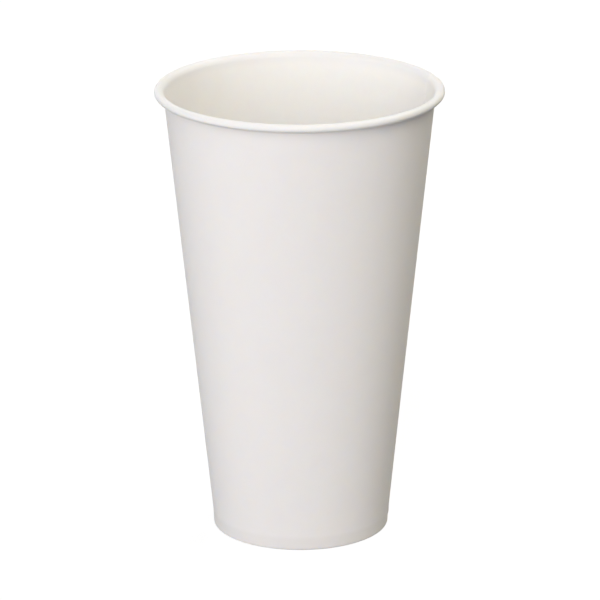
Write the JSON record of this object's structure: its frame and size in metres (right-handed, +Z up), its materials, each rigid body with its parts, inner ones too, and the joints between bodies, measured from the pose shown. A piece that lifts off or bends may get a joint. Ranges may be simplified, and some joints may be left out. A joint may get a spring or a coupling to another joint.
{
  "type": "paper coffee cup",
  "caption": "Tall plain white single-wall paper cup, tapered, with a rolled rim, a lapped side seam and a hemmed foot round a recessed floor.",
  "frame": {"origin": "centre of the foot, on the plane that the cup stands on", "axes": "+Z up along the cup's axis to the mouth; the side seam lies 12 degrees from +X towards +Y, on the side that the picture does not show"},
  "size_m": [0.09, 0.09, 0.143],
  "materials": {
    "outer_board": "matt uncoated white cup board",
    "coated_board": "white cup board with a thin satin film on its drink side"
  },
  "bodies": {
    "root": {"sidewall": "outer_board", "bottom_disc": "coated_board"}
  },
  "joints": []
}
